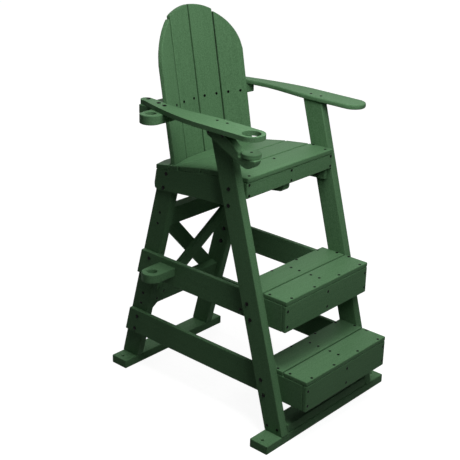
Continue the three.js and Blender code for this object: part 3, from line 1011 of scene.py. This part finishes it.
CUP_BRACKET_SCREWS = [(0, 376.3, 1214.5), (0, 306.4, 1214.4)]
CUP_DISC_SCREW = [(-309.7, 190, 0)]
BRACE_SCREWS = [(-156, 0, 360), (-190, 0, 331)]


def screw_groups():
    """Name of each group of screws, its boards, the way they face, their places."""
    groups = []
    for step, front in (("upper_step", UPPER_FRONT), ("lower_step", LOWER_FRONT)):
        treads = [f"{step}_tread_front", f"{step}_tread_back"]
        places = [(x, front + back, 0) for x, back in TREAD_SCREWS]
        groups.append((f"{step}_tread_screws", treads, UP, places))
        riser = [f"{step}_riser"]
        groups.append((f"{step}_riser_screws", riser, FORWARD, riser_spots(step)))
    groups.append(("seat_apron_screws", ["seat_apron"], FORWARD, APRON_SCREWS))
    groups.append(("seat_front_screws", ["seat_board_front"], UP, SEAT_SCREWS))
    slats = [f"back_slat_{number}" for number in range(1, 5)]
    places = [(x, 0, SLAT_HEIGHT) for x in SLAT_SCREWS]
    groups.append(("back_slat_screws", slats, FORWARD, places))
    for side, facing in SIDES:
        places = [(across * facing.x, back, 0) for across, back in ARM_SCREWS]
        groups.append((f"armrest_{side}_screws", [f"armrest_{side}"], UP, places))
        leg = f"rear_leg_{side}"
        groups.append((f"{leg}_screws", [leg], facing, REAR_LEG_SCREWS))
        leg = f"front_leg_{side}"
        groups.append((f"{leg}_screws", [leg], facing, FRONT_LEG_SCREWS))
        rail = [f"upper_step_rail_{side}"]
        groups.append((f"upper_rail_{side}_screw", rail, facing, UPPER_RAIL_SCREW))
    bracket = ["cup_bracket"]
    groups.append(("cup_bracket_screws", bracket, RIGHT, CUP_BRACKET_SCREWS))
    groups.append(("cup_disc_screw", ["cup_base_disc"], UP, CUP_DISC_SCREW))
    brace = ["rear_brace_front"]
    groups.append(("brace_front_screws", brace, FORWARD, BRACE_SCREWS))
    return groups


class GUARDCHAIR_OT_screws(bpy.types.Operator):
    """Model one screw head and set it on every board that shows screws"""

    bl_idname = "guardchair.screws"
    bl_label = "Screws"

    def execute(self, context):
        rng = random.Random(SCREW_SEED)
        pattern = screw_pattern()
        for name, boards, facing, places in screw_groups():
            screws = []
            for place in places:
                where, normal = seat_on(boards, spot(*place), facing)
                screws.append(set_fastener(pattern, where, normal, rng))
            finish_fasteners(screws, name)
        bpy.data.objects.remove(pattern)
        return {"FINISHED"}


# ---------------------------------------------------------------- stage


def white_where_seen(tree):
    """Gives 1 for a ray from the eye, a reflection or clear glass, and 0 otherwise."""
    path = add_node(tree, "ShaderNodeLightPath").outputs
    seen = add_node(
        tree,
        "ShaderNodeMath",
        {"operation": "MAXIMUM"},
        {0: path["Is Camera Ray"], 1: path["Is Glossy Ray"]},
    ).outputs[0]
    return add_node(
        tree,
        "ShaderNodeMath",
        {"operation": "MAXIMUM"},
        {0: seen, 1: path["Is Transmission Ray"]},
    ).outputs[0]


# Paper: its grey to the chair and to the eye, and the glow that the eye sees
PAPER_TO_CHAIR, PAPER_TO_EYE, PAPER_GLOW = 0.06, 0.3, 0.925
TOOTH_SCALE = 330  # per metre, so that the paper's tooth is about 3 mm


def floor_material():
    """Matte white paper sweep: even white to the eye, with the chair's soft shadow."""
    material = blank_material("white_paper_sweep")
    tree = material.node_tree
    seen = white_where_seen(tree)
    place = add_node(tree, "ShaderNodeTexCoord").outputs["Object"]
    # The tooth is coarser than real paper's and still too fine to see from here.
    tooth = add_node(
        tree,
        "ShaderNodeTexNoise",
        None,
        {"Vector": place, "Scale": TOOTH_SCALE, "Detail": 1},
    ).outputs["Fac"]
    bump = add_node(
        tree,
        "ShaderNodeBump",
        None,
        {"Strength": 0.05, "Distance": 0.1 * MM, "Height": tooth},
    ).outputs["Normal"]
    # Dark to the chair, as black cloth under the paper's edge would be, so that
    # little light comes back up under the boards
    grey = add_node(
        tree,
        "ShaderNodeMapRange",
        None,
        {"Value": seen, "To Min": PAPER_TO_CHAIR, "To Max": PAPER_TO_EYE},
    ).outputs["Result"]
    paper = add_node(
        tree, "ShaderNodeBsdfDiffuse", None, {"Color": grey, "Normal": bump}
    ).outputs["BSDF"]
    # The glow and the light on the paper come to white; in the shadow only the glow
    # is left.
    share = add_node(
        tree, "ShaderNodeMath", {"operation": "MULTIPLY"}, {0: seen, 1: PAPER_GLOW}
    ).outputs[0]
    glow = add_node(
        tree, "ShaderNodeEmission", None, {"Color": (1, 1, 1, 1), "Strength": share}
    ).outputs["Emission"]
    mixed = add_node(tree, "ShaderNodeAddShader", None, {0: paper, 1: glow})
    add_node(
        tree, "ShaderNodeOutputMaterial", None, {"Surface": mixed.outputs["Shader"]}
    )
    return material


def studio_world(ambient):
    """White walls to the eye and in reflections, a low even light otherwise."""
    world = bpy.data.worlds.new("white_studio")
    world.use_nodes = True
    tree = world.node_tree
    tree.nodes.clear()
    seen = white_where_seen(tree)
    room = add_node(
        tree, "ShaderNodeBackground", None, {"Color": (1, 1, 1, 1), "Strength": ambient}
    ).outputs["Background"]
    wall = add_node(
        tree, "ShaderNodeBackground", None, {"Color": (1, 1, 1, 1), "Strength": 1}
    ).outputs["Background"]
    mixed = add_node(tree, "ShaderNodeMixShader", None, {0: seen, 1: room, 2: wall})
    add_node(tree, "ShaderNodeOutputWorld", None, {"Surface": mixed.outputs["Shader"]})
    return world


# Camera from the photograph: place in metres, turn round the chair, height above
# the horizon and roll in degrees, and the sideways and upward shift of the view
CAMERA_PLACE = Vector((-3.06375, -2.62467, 2.3377))
CAMERA_TURN, CAMERA_RISE, CAMERA_ROLL = -48.259, 22.117, 1.188
CAMERA_SHIFT = (-0.00069, 0.00196)


def camera_basis():
    """The camera's right, up and back directions as a rotation."""
    turn, rise, roll = (
        math.radians(v) for v in (CAMERA_TURN, CAMERA_RISE, CAMERA_ROLL)
    )
    back = Vector(
        (
            math.sin(turn) * math.cos(rise),
            -math.cos(turn) * math.cos(rise),
            math.sin(rise),
        )
    )
    right = (-back).cross(UP).normalized()
    up = right.cross(-back)
    rolled_right = math.cos(roll) * right + math.sin(roll) * up
    rolled_up = math.cos(roll) * up - math.sin(roll) * right
    return Matrix((rolled_right, rolled_up, back)).transposed()


SENSOR_WIDTH = 36  # millimetres
SIGHT = 200  # metres to which the camera sees

# Where each lamp's light comes from, its width in degrees or its side in metres,
# and for a softbox the place that it looks at
KEY_WAY, KEY_WIDTH = Vector((-0.06, -0.1, 1.0)), 25
REAR_WAY, REAR_WIDTH = Vector((0.7, 1.0, 0.3)), 60
TOP_PLACE, TOP_TARGET = Vector((-0.35, -0.6, 2.3)), Vector((0, -0.1, 0.9))
FRONT_PLACE, FRONT_TARGET = Vector((-0.7, -1.5, 2.3)), Vector((0, 0, 0.9))
TOP_SIDE, FRONT_SIDE = 0.6, 1.0
SUN_DISTANCE = 4  # only where the lamp is drawn: its light is the same from anywhere


def soft_sun(name, towards, strength, width):
    """A soft, even light that comes from the way towards."""
    bpy.ops.object.light_add(
        type="SUN",
        location=towards.normalized() * SUN_DISTANCE,
        rotation=turned_to(towards),
    )
    lamp = bpy.context.object
    lamp.name = lamp.data.name = name
    lamp.data.energy = strength
    lamp.data.angle = math.radians(width)
    return lamp


def softbox(name, place, target, power, side):
    """A square softbox at place that looks at target."""
    bpy.ops.object.light_add(
        type="AREA",
        location=place,
        rotation=turned_to(place - target),
    )
    lamp = bpy.context.object
    lamp.name = lamp.data.name = name
    lamp.data.shape = "SQUARE"
    lamp.data.size = side
    lamp.data.energy = power
    lamp.visible_camera = False
    return lamp


class GUARDCHAIR_OT_stage(bpy.types.Operator):
    """Set the floor, the studio light and the camera"""

    bl_idname = "guardchair.stage"
    bl_label = "Stage"

    def execute(self, context):
        stage = context.scene.guard_stage
        bpy.ops.object.select_all(action="DESELECT")
        bpy.ops.mesh.primitive_plane_add(size=stage.floor)
        floor = context.object
        floor.name = "studio_floor"
        floor.data.materials.append(floor_material())
        context.scene.world = studio_world(stage.ambient)
        soft_sun("overhead_key", KEY_WAY, stage.key, KEY_WIDTH)
        soft_sun("rear_fill", REAR_WAY, stage.rear_fill, REAR_WIDTH)
        softbox("top_softbox", TOP_PLACE, TOP_TARGET, stage.top_box, TOP_SIDE)
        softbox("front_softbox", FRONT_PLACE, FRONT_TARGET, stage.front_box, FRONT_SIDE)
        bpy.ops.object.camera_add(
            location=CAMERA_PLACE, rotation=camera_basis().to_euler()
        )
        camera = context.object
        camera.name = "photograph_camera"
        camera.data.sensor_width = SENSOR_WIDTH
        camera.data.lens = stage.lens
        camera.data.shift_x, camera.data.shift_y = CAMERA_SHIFT
        camera.data.dof.use_dof = False
        camera.data.clip_end = SIGHT
        context.scene.camera = camera
        context.scene.view_settings.view_transform = "Standard"
        return {"FINISHED"}


# ---------------------------------------------------------------- panel and run

OPERATORS = (
    GUARDCHAIR_OT_feet,
    GUARDCHAIR_OT_legs,
    GUARDCHAIR_OT_steps,
    GUARDCHAIR_OT_seat_frame,
    GUARDCHAIR_OT_seat_boards,
    GUARDCHAIR_OT_back_slats,
    GUARDCHAIR_OT_armrests,
    GUARDCHAIR_OT_umbrella_holder,
    GUARDCHAIR_OT_cup_holder,
    GUARDCHAIR_OT_rear_braces,
    GUARDCHAIR_OT_bolts,
    GUARDCHAIR_OT_screws,
    GUARDCHAIR_OT_stage,
)
SETTINGS = (
    ("guard_boards", BoardSettings),
    ("guard_fasteners", FastenerSettings),
    ("guard_finish", FinishSettings),
    ("guard_stage", StageSettings),
)


class GUARDCHAIR_PT_panel(bpy.types.Panel):
    """Sizes, colours and the steps that make the chair"""

    bl_idname = "GUARDCHAIR_PT_panel"
    bl_label = "Guard chair"
    bl_space_type = "VIEW_3D"
    bl_region_type = "UI"
    bl_category = "Guard chair"

    def draw(self, context):
        for name, group in SETTINGS:
            box = self.layout.box()
            for field in group.__annotations__:
                box.prop(getattr(context.scene, name), field)
        for operator in OPERATORS:
            self.layout.operator(operator.bl_idname)


def register():
    for name, group in SETTINGS:
        bpy.utils.register_class(group)
        setattr(bpy.types.Scene, name, bpy.props.PointerProperty(type=group))
    for operator in OPERATORS:
        bpy.utils.register_class(operator)
    bpy.utils.register_class(GUARDCHAIR_PT_panel)


def unregister():
    bpy.utils.unregister_class(GUARDCHAIR_PT_panel)
    for operator in reversed(OPERATORS):
        bpy.utils.unregister_class(operator)
    for name, group in reversed(SETTINGS):
        delattr(bpy.types.Scene, name)
        bpy.utils.unregister_class(group)


def main():
    register()
    bpy.ops.guardchair.feet()
    bpy.ops.guardchair.legs()
    bpy.ops.guardchair.steps()
    bpy.ops.guardchair.seat_frame()
    bpy.ops.guardchair.seat_boards()
    bpy.ops.guardchair.back_slats()
    bpy.ops.guardchair.armrests()
    bpy.ops.guardchair.umbrella_holder()
    bpy.ops.guardchair.cup_holder()
    bpy.ops.guardchair.rear_braces()
    bpy.ops.guardchair.bolts()
    bpy.ops.guardchair.screws()
    bpy.ops.guardchair.stage()


if __name__ == "__main__":
    main()
